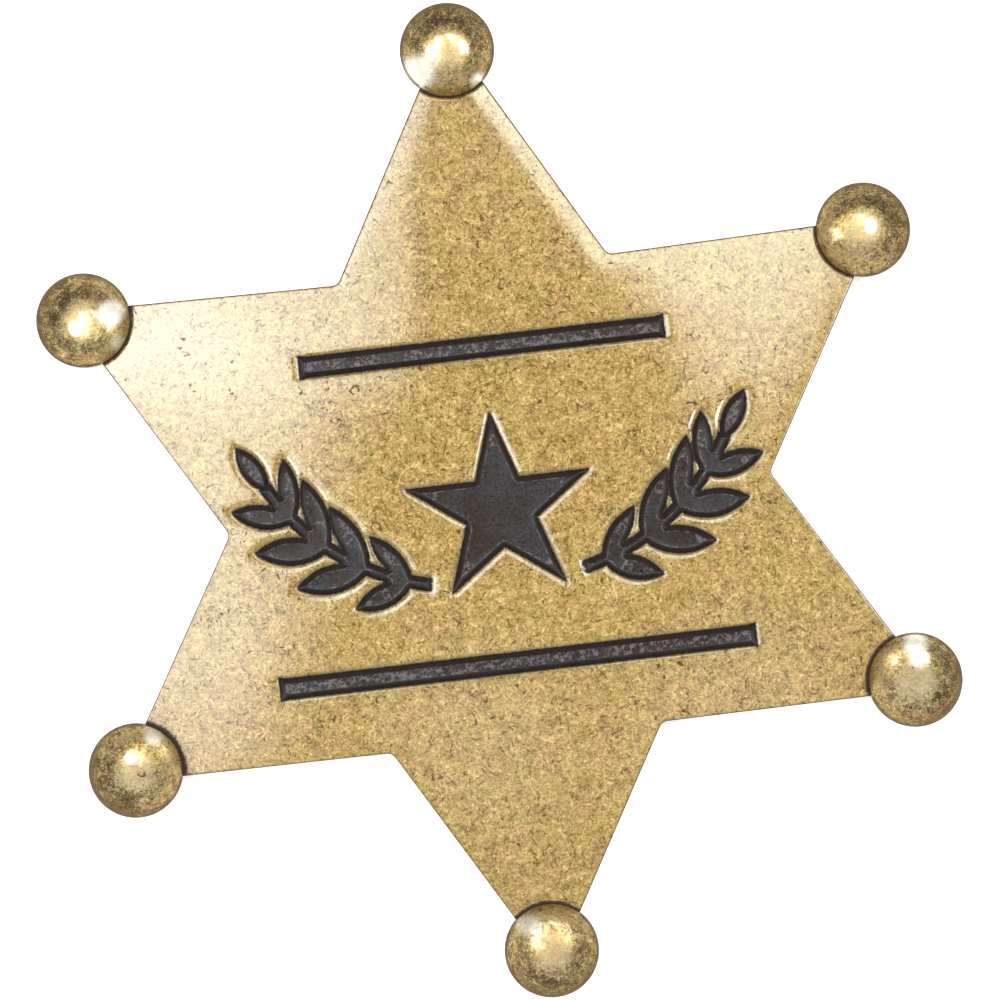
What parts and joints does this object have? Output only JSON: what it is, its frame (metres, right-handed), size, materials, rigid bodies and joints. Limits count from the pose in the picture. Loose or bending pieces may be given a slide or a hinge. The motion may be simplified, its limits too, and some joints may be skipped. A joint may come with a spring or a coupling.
{
  "type": "sheriff star badge",
  "caption": "Crowned star badge in antique brass with ball tips, black enamel bars, a small star between leaf sprays, and a bar pin on the back that fastens it to cloth.",
  "frame": {"origin": "on the surface that the badge lies on, under the middle of the star", "axes": "+Z out of the badge's face, +Y to the top ball, +X to the right of the face"},
  "size_m": [0.067, 0.0762, 0.0054],
  "materials": {
    "antique_brass": "antiqued, satin",
    "black_enamel": "worn satin",
    "pin_brass": "plain satin"
  },
  "bodies": {
    "root": {"star": "antique_brass", "enamel_upper_bar": "black_enamel", "enamel_lower_bar": "black_enamel", "enamel_centre_star": "black_enamel", "enamel_left_spray": "black_enamel", "enamel_right_spray": "black_enamel", "pin": "pin_brass"}
  },
  "joints": []
}
